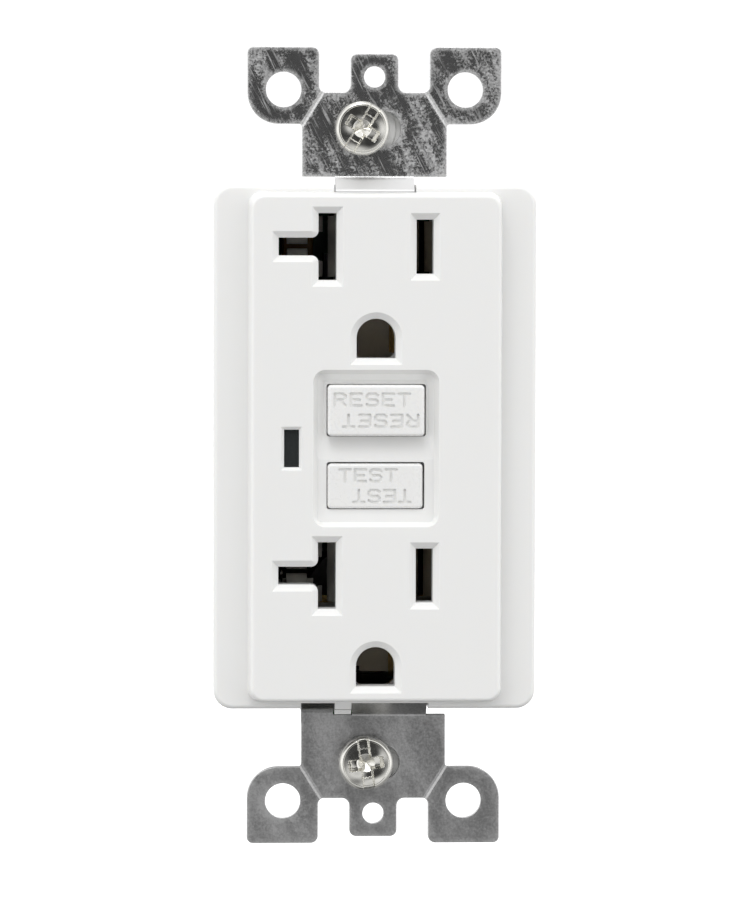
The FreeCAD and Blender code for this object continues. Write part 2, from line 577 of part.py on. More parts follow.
def ground_contact(pin_z):
    """Plate under the strap with two sprung fingers that grip the ground pin."""
    plate = slab_xz(rect(-4.6, 4.6, pin_z - 3.7, pin_z + 6.1, 0.7), STRAP_IN_BACK + 0.02, -1.0)
    rivet_hole = rod_y(RIVET_R + 0.03, 0, pin_z + RIVET_RISE, -3, 0)
    plate = cut(plate, rod_y(PIN_CLEAR_R, 0, pin_z, -3, 0), rivet_hole)
    profile = [(3.05, -1.2), (3.7, -1.2), (3.7, 0.6, 2), (2.75, 3.6, 1.5), (3.3, 5.5), (2.7, 5.7),
               (2.1, 3.6, 1.5), (3.05, 0.6, 2)]
    finger = slab_xy(profile, pin_z - 2.1, pin_z + 2.1)
    return fuse([plate, finger, mirror_x(finger)])


def ground_rivets():
    made = []
    for z in PINS_Z:
        at = z + RIVET_RISE
        heads = [cone(1.1, 1.55, (0, STRAP_IN_FRONT - 0.5, at), (0, STRAP_IN_FRONT - 0.01, at)),
                 cone(1.5, 1.1, (0, -0.99, at), (0, -0.5, at))]
        made.append(fuse([rod_y(RIVET_R, 0, at, STRAP_IN_FRONT - 0.2, -0.8), *heads]))
    return Part.makeCompound(made)


# ---------------------------------------------------------------- contact strips and terminals
def leaf_points(side, near):
    """Outline of a sprung leaf beside a blade: it rises to the front, leans in, and flares at its tip."""
    inner = [(0, STRIP_Y + 0.4), (0, 4.6, 1.0), (-LEAF_LEAN, 1.4, 0.6), (0, -0.5)]
    outer = [(across + LEAF_T, y) + tuple(r) for across, y, *r in reversed(inner)]
    return [(near + side * across, y) + tuple(r) for across, y, *r in inner + outer]


def leaf(side, x_near, z0, z1):
    return slab_xy(leaf_points(side, x_near), z0, z1)


def turned_leaf(side, z_near, x0, x1):
    """A leaf that grips a blade turned across, in the arm of a T-shaped opening."""
    points = [(y, z) + tuple(r) for z, y, *r in leaf_points(side, z_near)]
    return slab_yz(points, x0, x1)


def terminal_plate(side, z):
    y0, y1 = TERMINAL_Y - 4.5, TERMINAL_Y + 4.5
    plate = side_box(side, POCKET_X + 0.02, POCKET_X + TERMINAL_T, y0, y1, z - 4.8, z + 4.8)
    return cut(plate, rod_x(SCREW_SHANK_R + 0.05, TERMINAL_Y, z, side * 10, side * 20))


def blade_socket(side, z):
    """Strip, leaves and holes of one pole at one outlet."""
    y0, y1 = STRIP_Y, STRIP_Y + STRIP_T
    tall = (HOT_H if side > 0 else NEUTRAL_H) / 2
    inner, outer = sorted((side * 4.4, side * (11.2 if side > 0 else 11.8)))
    pieces = [slab_xz(rect(inner, outer, z - 5.1, z + 5.4, 0.5), y0, y1)]
    holes = [side_box(side, HX - 1.35, HX + 1.35, y0 - 1, y1 + 1, z - tall - 0.2, z + tall + 0.2)]
    if side > 0:
        pieces += [leaf(1, HX + 1.36, z - 3.3, z + 3.3), leaf(-1, HX - 1.36, z - 3.3, z + 3.3)]
        return pieces, holes
    pieces.append(leaf(1, -HX + 1.36, z - 4.0, z + 4.0))
    pieces += [leaf(-1, -HX - 1.36, z + 1.9, z + 4.0), leaf(-1, -HX - 1.36, z - 4.0, z - 1.9)]
    holes.append(box(-11.9, -HX, y0 - 1, y1 + 1, z - 1.3, z + 1.3))
    pieces += [turned_leaf(1, z + 1.32, -11.4, -8.7), turned_leaf(-1, z - 1.32, -11.4, -8.7)]
    return pieces, holes


def contact_strip(side):
    """Load-side strip of one pole. side is +1 for hot and -1 for neutral, whose openings are T-shaped."""
    y0, y1 = STRIP_Y, STRIP_Y + STRIP_T
    pieces, holes = [], []
    for z in OUTLETS_Z:
        made, cuts = blade_socket(side, z)
        pieces += made
        holes += cuts
    pieces.append(side_box(side, 8.4, 11.2, y0, y1, LOWER_BLADES_Z + 5, UPPER_BLADES_Z - 5))
    # Tab out to the load terminal, and the arm that carries the fixed contact
    tab_z = [TERMINAL_Z + dz for dz in TERMINAL_TAB_Z]
    pieces.append(side_box(side, 10.5, POCKET_X + 0.6, y0, y1, *tab_z))
    pieces.append(side_box(side, 8.4, 11.2, y1 - 0.4, 10.0, PAD_Z + 2.0, PAD_Z + 2.8))
    pieces.append(side_box(side, ARM_X - 1.5, ARM_X + 1.5, 9.2, 10.0, PAD_Z - 1.8, PAD_Z + 2.5))
    pieces.append(terminal_plate(side, TERMINAL_Z))
    return cut(fuse(pieces), *holes)


def line_terminal(side):
    """Line-side terminal: the plate in the pocket and the tab that leads inwards."""
    z = -TERMINAL_Z
    tab_z = [z + dz for dz in TERMINAL_TAB_Z]
    tab = side_box(side, 12.9, POCKET_X + 0.6, LINE_BAR_Y, LINE_BAR_Y + STRIP_T, *tab_z)
    return fuse([terminal_plate(side, z), tab])


def line_conductors():
    """A bar from each line terminal, over the transformer and down through its hole to the board."""
    made = []
    low, high = -TERMINAL_Z + TERMINAL_TAB_Z[0] - 0.9, -TERMINAL_Z + TERMINAL_TAB_Z[1] - 0.3
    through_z = (TRANSFORMER_Z - 1.0, TRANSFORMER_Z + 1.0)
    for side in (-1, 1):
        over = side_box(side, 0.5, 12.88, LINE_BAR_Y, LINE_BAR_Y + STRIP_T, low, high)
        down = side_box(side, 0.5, 1.5, LINE_BAR_Y, BOARD_Y - 0.02, *through_z)
        made.append(fuse([over, down]))
    return Part.makeCompound(made)


def fixed_pads():
    return Part.makeCompound([rod_y(PAD_R, s * ARM_X, PAD_Z, 10.02, PAD_Y) for s in (-1, 1)])


def moving_arm(side):
    """Sprung arm that carries the moving contact; it bends at its fixed lower end."""
    x0, x1 = side * ARM_X - 1.7, side * ARM_X + 1.7
    return slab_xz(rect(x0, x1, ARM_HINGE_Z + 0.1, PAD_Z + 1.8, 0.6), ARM_Y, ARM_Y + ARM_T)


def moving_pad(side):
    return rod_y(PAD_R, side * ARM_X, PAD_Z, PAD_Y + PAD_GAP, ARM_Y - 0.01)


def arm_anchors():
    """Clips that hold the arms' lower ends, with their legs down to the board."""
    made = []
    for side in (-1, 1):
        x0, x1 = side * ARM_X - 2, side * ARM_X + 2
        made.append(fuse([box(x0, x1, ARM_Y, ARM_Y + ARM_T, -11.2, ARM_HINGE_Z - 0.1),
                          box(x0, x1, ARM_Y, BOARD_Y - 0.02, -11.7, -11.0)]))
    return Part.makeCompound(made)


# ---------------------------------------------------------------- buttons, latch and solenoid
def button(cap_span, top, stem_z, stem_r, stem_end):
    """A square-cornered cap with a rim round its foot and a stem behind; cap_span is (x0, x1, z0, z1)."""
    x0, x1, z0, z1 = cap_span
    cap = slab_xz(rect(x0, x1, z0, z1, 0.5), top, SKIRT_Y[1])
    cap = soften(cap, 0.4, flat_at_y(top))
    rim = slab_xz(rect(x0 - 0.8, x1 + 0.8, z0 - 0.45, z1 + 0.45, 0.4), *SKIRT_Y)
    return fuse([cap, rim, rod_y(stem_r, 0, stem_z, SKIRT_Y[1] - 0.2, stem_end)])


def reset_button():
    whole = button(RESET_CAP, RESET_TOP_Y, RESET_Z, 2.4, -2.2)
    rows = [word("RESET", -5.4, 5.6, RESET_TOP_Y, 2.09),
            word("RESET", -4.3, 2.85, RESET_TOP_Y, 2.09, upside_down=True)]
    return cut(whole, rod_y(0.8, 0, RESET_Z, -6.2, 0), *rows)


def test_button():
    whole = button(TEST_CAP, TEST_TOP_Y, TEST_Z, 1.2, 7.6)
    tip = rod_y(0.6, 0, TEST_Z, 7.5, TEST_BLADE_Y - 0.05)
    rows = [word("TEST", -4.7, -4.3, TEST_TOP_Y, 2.0),
            word("TEST", -2.9, -7.0, TEST_TOP_Y, 2.0, upside_down=True)]
    return cut(fuse([whole, tip]), *rows)


def reset_shaft():
    """Steel pin in the reset button, with the arrow tip that holds the latch plate from behind."""
    shoulder = LATCH_PLATE_Y + LATCH_PLATE_T + 0.05
    pin = rod_y(0.79, 0, RESET_Z, -6.1, shoulder + 0.5)
    return fuse([pin, cone(1.3, 0.7, (0, shoulder, RESET_Z), (0, shoulder + 1.1, RESET_Z))])


def coil_spring(radius, wire, turns, start, end):
    """Round-wire compression spring along the line from start to end, clear of both by half a wire."""
    a, b = V(*start), V(*end)
    length = (b - a).Length - wire
    helix = Part.makeHelix(length / turns, length, radius)
    profile = Part.Wire(Part.makeCircle(wire / 2, V(radius, 0, 0), V(0, 1, 0)))
    spring = Part.Wire(helix).makePipeShell([profile], True, True)
    foot = a + (b - a).normalize() * (wire / 2)
    spring.Placement = FreeCAD.Placement(foot, FreeCAD.Rotation(V(0, 0, 1), b - a))
    return spring


def latch_block():
    """Lifter that the latched shaft holds forwards; its wings press the moving arms to their contacts."""
    y0, y1 = BLOCK_Y
    body = slab_xz(rect(-5.0, 5.0, RESET_Z - 3.6, RESET_Z + 2.9, 0.6), y0, y1)
    wing_x, wing_y = ARM_X + 1.4, ARM_Y + ARM_T + 0.04
    wings = box(-wing_x, wing_x, wing_y, wing_y + 1.4, RESET_Z - 1.3, RESET_Z + 1.3)
    plate_y0, plate_y1 = LATCH_PLATE_Y - 0.05, LATCH_PLATE_Y + LATCH_PLATE_T + 0.05
    way = box(-2.7, 2.7, plate_y0, plate_y1, RESET_Z - 6, RESET_Z + 5)
    spring_xs = (-LATCH_SPRING_X, LATCH_SPRING_X)
    wells = [rod_y(0.95, x, RESET_Z, y0 - 1, LATCH_SPRING_END_Y) for x in spring_xs]
    return cut(fuse([body, wings]), way, rod_y(1.5, 0, RESET_Z, y0 - 1, y1 + 1), *wells)


def latch_springs():
    made = []
    for x in (-LATCH_SPRING_X, LATCH_SPRING_X):
        ends = [(x, y, RESET_Z) for y in (FRAME_BACK_Y, LATCH_SPRING_END_Y)]
        made.append(coil_spring(0.7, 0.22, 6, *ends))
    return Part.makeCompound(made)


def latch_plate():
    """Sliding plate: its hole's lower edge stays before the shaft's tip until the plunger pushes it."""
    y0, y1 = LATCH_PLATE_Y, LATCH_PLATE_Y + LATCH_PLATE_T
    plate = slab_xz(rect(-2.5, 2.5, RESET_Z - 4.2, LATCH_PLATE_TOP_Z, 0.5), y0, y1)
    hole = slab_xz(rect(-1.45, 1.45, RESET_Z - 0.86, RESET_Z + 2.6, 0.6), y0 - 1, y1 + 1)
    return cut(plate, hole)


def solenoid():
    """Bobbin, winding and steel frame; the plunger works along Z in the bobbin's bore."""
    y, (z0, z1) = SOLENOID_Y, SOLENOID_Z
    cheeks = [box(-4.9, 4.9, y - 4.9, y + 4.9, low, low + 1.0) for low in (z0, z1 - 1.0)]
    bobbin = cut(fuse([rod_z(2.95, 0, y, z0, z1), *cheeks]), rod_z(2.2, 0, y, z0 - 1, z1 + 1))
    winding = rod_z(4.6, 0, y, z0 + 1.05, z1 - 1.05).cut(rod_z(3.0, 0, y, z0, z1))
    sides = [side_box(side, 5.0, 6.2, y - 4.4, y + 4.4, z0 - 1.2, z1 + 1.2) for side in (-1, 1)]
    end_spans = ((z0 - 1.2, z0 - 0.02), (z1 + 0.02, z1 + 1.2))
    ends = [box(-6.2, 6.2, y - 4.4, y + 4.4, *span) for span in end_spans]
    frame = cut(fuse(sides + ends), rod_z(2.3, 0, y, z0 - 3, z1 + 3))
    return bobbin, winding, frame


def plunger():
    """Steel core with a thin nose that strikes the latch plate, and a tail with a head for its spring."""
    y, top = SOLENOID_Y, SOLENOID_Z[1]
    head = PLUNGER_HEAD_Z
    return fuse([rod_z(1.5, 0, y, LATCH_PLATE_TOP_Z + 0.05, 12.0), rod_z(2.13, 0, y, 11.5, top - 1.5),
                 rod_z(0.9, 0, y, top - 2, head + 0.9), rod_z(2.1, 0, y, head, head + 0.9)])


# ---------------------------------------------------------------- electronics
def circuit_board():
    y0, y1 = BOARD_Y, BOARD_Y + BOARD_T
    board = slab_xz(rect(-12.7, 12.7, -31.5, 31.5, 1.0), y0, y1)
    waist = [box(sx * 12.6 - 0.8, sx * 12.6 + 0.8, y0 - 1, y1 + 1, -1.5, 1.5) for sx in (-1, 1)]
    return cut(board, *waist)


def ring(radius, hole_r, y0, y1):
    """A ring round the transformer's axis, along Y."""
    return rod_y(radius, 0, TRANSFORMER_Z, y0, y1).cut(rod_y(hole_r, 0, TRANSFORMER_Z, y0 - 1, y1 + 1))


def core_turn(angle, y0, y1):
    """One square turn of wire round a ring core, at an angle about the transformer's axis."""
    tall, wide, wire, middle_r = (y1 - y0) / 2, 1.4, 0.22, 5.7
    outer = box(-wide - 0.4, wide + 0.4, -tall - 0.4, tall + 0.4, -wire, wire)
    loop = outer.cut(box(-wide - 0.03, wide + 0.03, -tall - 0.03, tall + 0.03, -1, 1))
    loop.rotate(V(0, 0, 0), V(0, 1, 0), -angle)
    turn = math.radians(angle)
    loop.translate(V(middle_r * math.cos(turn), (y0 + y1) / 2, TRANSFORMER_Z + middle_r * math.sin(turn)))
    return loop


def transformer():
    """Case over two stacked ring cores, with their windings, round the line conductors."""
    y0, y1 = 9.25, BOARD_Y - 0.05
    case = ring(8.9, 2.3, y0, y1).cut(ring(8.1, 3.1, y0 + 0.9, y1 - 0.9))
    case = fuse([case, ring(8.5, 2.8, 14.1, 14.7)])
    spans, turns = ((10.75, 13.5), (15.2, 17.9)), 14
    cores = [ring(7.1, 4.3, a, b) for a, b in spans]
    coils = [core_turn(k * 360 / turns, a, b) for a, b in spans for k in range(turns)]
    return case, Part.makeCompound(cores), Part.makeCompound(coils)


def varistor():
    disc = soften(rod_x(3.9, 14.6, 26.5, 8.0, 11.4), 0.8, lambda b: b.YMax - b.YMin > 1)
    return fuse([disc, *[rod_y(0.35, 9.7, 26.5 + dz, 17.6, BOARD_Y - 0.02) for dz in (-1.6, 1.6)]])


def film_capacitor():
    block = soften(box(-11.8, -7.6, 10.5, 18.9, 21.5, 30.0), 0.4, lambda b: True)
    return fuse([block, *[rod_y(0.3, -9.7, z, 18, BOARD_Y - 0.02) for z in (23.2, 28.3)]])


def thyristor():
    can = rod_y(2.3, 9.6, 16.0, 12.9, 17.4).cut(box(10.9, 13, 12, 18, 12, 20))
    legs = [box(9.4, 9.8, 17.2, BOARD_Y - 0.02, 15.8 + dz, 16.2 + dz) for dz in (-1.27, 0, 1.27)]
    return fuse([can, *legs])


def control_chip():
    block = box(-11.6, -8.4, 16.9, 18.9, 12.5, 19.0)
    legs = [box(x, x + 0.7, 18.0, BOARD_Y - 0.02, 13.1 + 1.6 * i, 13.5 + 1.6 * i)
            for x in (-12.2, -8.5) for i in range(4)]
    return fuse([block, *legs])


def axial_part(x, z, along, body_r, body_l):
    """A small part with its two leads bent down to the board; along is its direction, X or Z."""
    y = BOARD_Y - body_r - 0.35
    d = V(1, 0, 0) if along == "x" else V(0, 0, 1)
    mid = V(x, y, z)
    a, b = mid - d * (body_l / 2), mid + d * (body_l / 2)
    far = [mid - d * (body_l / 2 + 0.9), mid + d * (body_l / 2 + 0.9)]
    legs = [rod(0.25, tuple(p), (p.x, BOARD_Y - 0.02, p.z)) for p in far]
    return fuse([rod(body_r, tuple(a), tuple(b)), rod(0.25, tuple(far[0]), tuple(far[1])), *legs])


def resistors():
    return Part.makeCompound([axial_part(2.5, -2.4, "x", 0.85, 3.6), axial_part(-2.8, -8.9, "x", 0.85, 3.6),
                              axial_part(3.6, -8.9, "x", 0.85, 3.6), axial_part(10.0, 20.0, "x", 0.7, 2.4)])


def diodes():
    places = [(s * 4.2, 29.9) for s in (-1, 1)] + [(s * 7.6, -12.9) for s in (-1, 1)]
    return Part.makeCompound([axial_part(x, z, "x", 0.65, 2.2) for x, z in places])


def indicator_led():
    """Lamp behind the light pipe; each lead runs back, across, and back again to the board."""
    block = box(LED_X - 0.95, LED_X + 0.95, -0.35, 4.2, -2.4, 2.4)
    legs, wire, turn_x, turn_y = [], 0.25, -6.8, 5.2
    for z, end in ((-1.27, -2.3), (0.0, -0.6)):
        legs.append(rod_y(wire, LED_X, z, 4.0, turn_y))
        legs.append(rod(wire, (LED_X, turn_y, z), (turn_x, turn_y, end)))
        legs.append(rod_y(wire, turn_x, end, turn_y, BOARD_Y - 0.02))
        legs += [Part.makeSphere(wire, V(LED_X, turn_y, z)), Part.makeSphere(wire, V(turn_x, turn_y, end))]
    return fuse([block, *legs])


def light_pipe():
    x, z = LED_W / 2 - 0.04, LED_H / 2 - 0.04
    head = box(LED_X - x, LED_X + x, FACE_Y + 0.75, FACE_Y + FACE_T + 0.1, -z, z)
    foot = box(LED_X - 1.15, LED_X + 1.15, FACE_Y + FACE_T + 0.05, -0.45, -2.75, 2.75)
    return fuse([head, foot])


def test_parts():
    """Post and sprung blade that the test button presses on to a fixed pin."""
    y, thick, pin_x = TEST_BLADE_Y, 0.35, 1.4
    post_end = TEST_HINGE_X - 0.05
    post = box(post_end - 0.5, post_end, y, BOARD_Y - 0.02, TEST_Z - 1.6, TEST_Z + 1.4)
    blade = box(TEST_HINGE_X + 0.05, 2.2, y, y + thick, TEST_Z - 1.2, TEST_Z + 1.2)
    swing = TEST_TRAVEL * (pin_x - TEST_HINGE_X) / -TEST_HINGE_X
    pin = rod_y(0.45, pin_x, TEST_Z, y + thick + swing + 0.28, BOARD_Y - 0.02)
    return post, blade, pin


# ---------------------------------------------------------------- fasteners
def screw_recess(radius, depth, driver):
    """Full-width slot and cross recess in a head whose top is at the origin, facing +Z."""
    slot = box(-radius - 1, radius + 1, -0.5, 0.5, -depth * 0.62, 1)
    across = box(-driver, driver, -0.55, 0.55, -depth * 0.9, 1)
    upright = box(-0.55, 0.55, -driver, driver, -depth * 0.9, 1)
    return Part.makeCompound([slot, across, upright])


def pan_screw(head_r, head_t, shank_r, length, driver, neck=None):
    """Screw along -Z from under its head; neck is the (radius, length) of an undercut behind the head."""
    head = soften(rod_z(head_r, 0, 0, 0, head_t), head_t * 0.45, lambda b: b.ZMin > head_t - 1e-3)
    dome = Part.makeSphere(head_r * 2.2, V(0, 0, head_t + 0.35 - head_r * 2.2))
    head = head.common(dome)
    recess = screw_recess(head_r, head_t, driver)
    recess.translate(V(0, 0, head.BoundBox.ZMax))
    neck_r, neck_l = neck or (shank_r, 0)
    tip = 0.7
    pieces = [rod_z(shank_r, 0, 0, -neck_l, tip - length),
              cone(shank_r, shank_r - 0.6, (0, 0, tip - length), (0, 0, -length))]
    if neck:
        pieces.append(rod_z(neck_r, 0, 0, 0.01, -neck_l))
    return fuse([head.cut(recess), *pieces])


def aim(shape, at, outward, turn=0.0):
    """Turns a screw made along Z so that its head faces outward, with its slot turned by an angle."""
    moved = shape.copy()
    moved.rotate(V(0, 0, 0), V(0, 0, 1), turn)
    facing = FreeCAD.Placement(V(*at), FreeCAD.Rotation(V(0, 0, 1), V(*outward)))
    moved.Placement = facing.multiply(moved.Placement)
    return moved


def box_screw(x, z, turn):
    screw = pan_screw(BOX_HEAD_R, BOX_HEAD_T, BOX_SCREW_R, BOX_SCREW_L, 1.9, (BOX_NECK_R, BOX_NECK_L))
    return aim(screw, (x, -STRAP_T - 0.1, z), (0, -1, 0), turn)


def captive_washer(x, z):
    """Plastic washer with a collar that holds a box screw from behind, and a fine groove in its front."""
    disc = soften(rod_y(WASHER_R, x, z, 0.05, 1.2), 0.25, flat_at_y(1.2))
    ring_line = rod_y(4.6, x, z, 0, 0.3).cut(rod_y(4.45, x, z, -1, 1))
    return cut(fuse([disc, rod_y(2.7, x, z, 1.1, 2.7)]), rod_y(BOX_NECK_R + 0.06, x, z, -1, 4), ring_line)


def clamp_plate(side, z):
    """Loose plate under a terminal screw's head, with a groove across it for each wire."""
    y0, y1 = TERMINAL_Y - 4.4, TERMINAL_Y + 4.4
    plate = side_box(side, CLAMP_X, CLAMP_X + CLAMP_T, y0, y1, z - 4.9, z + 4.9)
    plate = soften(plate, 0.35, lambda edge: True)
    groove_x = side * (CLAMP_X - 0.3)
    grooves = [rod_y(0.7, groove_x, z + dz, y0 - 1.6, y1 + 1.6) for dz in (-WIRE_HOLE_DZ, WIRE_HOLE_DZ)]
    return cut(plate, rod_x(SCREW_SHANK_R + 0.08, TERMINAL_Y, z, side * 10, side * 25), *grooves)


def terminal_screw(side, z, turn):
    screw = pan_screw(SCREW_HEAD_R, SCREW_HEAD_T, SCREW_SHANK_R, 6.9, 1.9)
    return aim(screw, (side * (CLAMP_X + CLAMP_T + 0.02), TERMINAL_Y, z), (side, 0, 0), turn)


def ground_screw():
    """Hexagonal-head screw, pointing up into the leg on the strap; the top of its head is bevelled."""
    corner, thick = HEX_FLATS / math.sqrt(3), 1.85
    angles = [math.radians(60 * i) for i in range(6)]
    corners = [(corner * math.cos(a), corner * math.sin(a)) for a in angles]
    hexagon = slab_xy(corners, 0, thick)
    hexagon = hexagon.common(cone(corner + 1.5, corner - 0.55, (0, 0, 0), (0, 0, thick)))
    recess = screw_recess(5, 1.6, 1.9)
    recess.translate(V(0, 0, thick))
    screw = fuse([hexagon.cut(recess), rod_z(SCREW_SHANK_R, 0, 0, 0.01, -5.2)])
    return aim(screw, (GROUND_SCREW_X, GROUND_SCREW_Y, GROUND_WASHER_Z - 0.82), (0, 0, -1), 20)


def ground_washer():
    """Square washer under the ground screw's head."""
    x, y, half = GROUND_SCREW_X, GROUND_SCREW_Y, HEX_FLATS / 2
    low, top = GROUND_WASHER_Z - 0.8, GROUND_WASHER_Z
    plate = slab_xy(rect(x - half, x + half, y - half, y + half, 0.6), low, top)
    return cut(plate, rod_z(SCREW_SHANK_R + 0.08, x, y, low - 1, top + 1))


def assembly_screws():
    screw = pan_screw(2.7, 1.6, 1.4, 27.0, 1.5)
    made = []
    for x, z in corners_of(ASSEMBLY_X, ASSEMBLY_Z):
        turn = math.copysign(35, x) + math.copysign(20, z)
        made.append(aim(screw, (x, BODY_BACK_Y - 2.38, z), (0, 1, 0), turn))
    return Part.makeCompound(made)


# ---------------------------------------------------------------- the assembly
def build():
    NODES["front_cover"] = front_cover()
    NODES["mid_frame"] = mid_frame()
    NODES["back_body"] = back_body()
    NODES["mounting_strap"] = mounting_strap()
    for name, z in zip(("upper", "lower"), PINS_Z):
        NODES["ground_contact_" + name] = ground_contact(z)
    NODES["ground_rivets"] = ground_rivets()
    NODES["fixed_contact_pads"] = fixed_pads()
    NODES["line_conductors"] = line_conductors()
    NODES["arm_anchors"] = arm_anchors()
    for name, side in (("hot", 1), ("neutral", -1)):
        NODES[name + "_contact_strip"] = contact_strip(side)
        NODES["line_" + name + "_terminal"] = line_terminal(side)
        NODES[name + "_moving_arm"] = moving_arm(side)
        NODES[name + "_moving_pad"] = moving_pad(side)
        for place, z, turn in (("line", -TERMINAL_Z, 15), ("load", TERMINAL_Z, 70)):
            NODES[place + "_" + name + "_clamp"] = clamp_plate(side, z)
            NODES[place + "_" + name + "_screw"] = terminal_screw(side, z, turn * side)
    NODES["reset_button"] = reset_button()
    NODES["reset_shaft"] = reset_shaft()
    NODES["reset_spring"] = coil_spring(1.9, 0.45, 6, (0, -2.2, RESET_Z), (0, 3.95, RESET_Z))
    NODES["test_button"] = test_button()
    NODES["test_post"], NODES["test_blade"], NODES["test_pin"] = test_parts()
    NODES["latch_block"] = latch_block()
    NODES["latch_plate"] = latch_plate()
    NODES["solenoid_bobbin"], NODES["solenoid_winding"], NODES["solenoid_frame"] = solenoid()
    NODES["plunger"] = plunger()
    spring_ends = [(0, SOLENOID_Y, z) for z in (SOLENOID_Z[1] + 1.2, PLUNGER_HEAD_Z)]
    NODES["plunger_spring"] = coil_spring(1.45, 0.35, 6, *spring_ends)
    NODES["latch_springs"] = latch_springs()
    NODES["circuit_board"] = circuit_board()
    NODES["transformer_case"], NODES["transformer_cores"], NODES["transformer_windings"] = transformer()
    NODES["varistor"] = varistor()
    NODES["film_capacitor"] = film_capacitor()
    NODES["thyristor"] = thyristor()
    NODES["control_chip"] = control_chip()
    NODES["resistors"] = resistors()
    NODES["diodes"] = diodes()
    NODES["indicator_led"] = indicator_led()
    NODES["light_pipe"] = light_pipe()
    NODES["assembly_screws"] = assembly_screws()
    slot_z = BOX_SCREW_SPAN / 2
    NODES["upper_box_screw"] = box_screw(UPPER_SCREW_X, slot_z, UPPER_SCREW_TURN)
    NODES["lower_box_screw"] = box_screw(LOWER_SCREW_X, -slot_z, LOWER_SCREW_TURN)
    NODES["upper_captive_washer"] = captive_washer(UPPER_SCREW_X, slot_z)
    NODES["lower_captive_washer"] = captive_washer(LOWER_SCREW_X, -slot_z)
    NODES["ground_screw"] = ground_screw()
    NODES["ground_washer"] = ground_washer()


def export():
    os.makedirs("parts", exist_ok=True)
    for name, shape in NODES.items():
        solids = shape.Solids
        whole = solids[0] if len(solids) == 1 else Part.makeCompound(solids)
        whole.exportStep("parts/" + name + ".step")
        state = "valid" if whole.isValid() else "NOT VALID"
        print(name, len(solids), round(sum(s.Volume for s in solids), 2), state)


if __name__ == "__main__":
    build()
    export()
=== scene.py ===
"""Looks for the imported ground-fault receptacle: materials, threaded screws, springs, studio light and camera.

Frame, in metres: +X right, +Z up, the outlet's face looks to -Y.
The origin is on the back of the strap's ears.
"""

import json
import math

import bpy
from mathutils import Matrix, Vector


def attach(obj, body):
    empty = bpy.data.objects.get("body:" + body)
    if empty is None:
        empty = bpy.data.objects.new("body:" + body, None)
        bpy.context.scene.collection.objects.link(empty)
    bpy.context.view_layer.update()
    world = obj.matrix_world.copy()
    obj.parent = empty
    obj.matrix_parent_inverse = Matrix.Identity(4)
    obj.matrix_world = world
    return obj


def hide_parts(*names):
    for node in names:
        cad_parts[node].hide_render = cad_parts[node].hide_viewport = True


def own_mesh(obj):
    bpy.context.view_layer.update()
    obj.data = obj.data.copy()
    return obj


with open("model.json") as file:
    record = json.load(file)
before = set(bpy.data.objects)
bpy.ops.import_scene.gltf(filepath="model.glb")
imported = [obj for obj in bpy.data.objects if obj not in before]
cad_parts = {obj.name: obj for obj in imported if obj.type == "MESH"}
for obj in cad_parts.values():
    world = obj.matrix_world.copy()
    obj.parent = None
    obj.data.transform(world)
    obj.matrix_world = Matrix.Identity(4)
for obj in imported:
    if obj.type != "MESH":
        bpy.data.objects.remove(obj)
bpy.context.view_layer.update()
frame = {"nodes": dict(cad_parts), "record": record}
NODES = frame["nodes"]
BODY_OF = {node: body for body, nodes in frame["record"]["behaviour"]["bodies"].items() for node in nodes}
SLOT_OF = {row["node"]: row["material_slot"] for row in frame["record"]["subparts"]}
MM = 0.001

# The room's brightness straight down, below, at eye level and above
ROOM_NADIR, ROOM_BELOW, ROOM_LEVEL, ROOM_ABOVE = 0.11, 0.40, 1.28, 1.17
# Between which heights of a direction, from -1 straight down to 1, it fades below eye level and at the nadir
LEVEL_FADE, NADIR_FADE = (-0.75, -0.05), (-0.97, -0.78)
# The dark patch of the room behind the viewer: its height, its soft edge (all in degrees) and its brightness
PATCH_ELEVATION, PATCH_INNER, PATCH_OUTER, PATCH_TONE = 6.0, 9.0, 30.0, 0.05
BACKDROP_TONE = 1.1                             # what the camera sees behind the outlet

# The strap's wear changes between its ends around Z = 0, and its neck starts in front of the ears, in metres;
# the upper neck gets a paler colour, a painted reflection
ENDS_BLEND = 0.001
NECK_START, NECK_END = -0.0013, -0.0017
RUB_SLANT = 27                                  # degrees, the direction of the streaks and scratches

THREAD_PITCH, THREAD_DEPTH = 0.794, 0.42        # millimetres, as all sizes of the screws and springs below
HEAD_FACETS, SHANK_FACETS = 256, 40
SLOT_HALF, ARM_HALF = 0.68, 0.66                # half widths of a head's slot and of its cross
SLOT_SHARE, CROSS_SHARE, PIT_SHARE = 0.52, 0.60, 0.35   # their depths and the pit's, as shares of the head's
PIT_RADIUS = 1.2
RIM_WIDTH, RIM_STEP, RIM_DROP = 0.62, 0.07, 0.85        # a head's rounded rim
DOME_CURVE = 46.0                               # twice the radius of a head's low dome


# ---------------------------------------------------------------- node helpers
def new_material(name):
    """A material with its node tree and its Principled shader."""
    material = bpy.data.materials.new(name)
    material.use_nodes = True
    tree = material.node_tree
    return material, tree, tree.nodes["Principled BSDF"]


def node(tree, kind, inputs=None, **settings):
    """Adds a shader node; inputs maps a socket to a value or to another node's output."""
    made = tree.nodes.new(kind)
    for key, value in settings.items():
        setattr(made, key, value)
    for key, value in (inputs or {}).items():
        if isinstance(value, bpy.types.NodeSocket):
            tree.links.new(value, made.inputs[key])
        else:
            made.inputs[key].default_value = value
    return made


def math_node(tree, operation, *values):
    return node(tree, "ShaderNodeMath", dict(enumerate(values)), operation=operation).outputs[0]


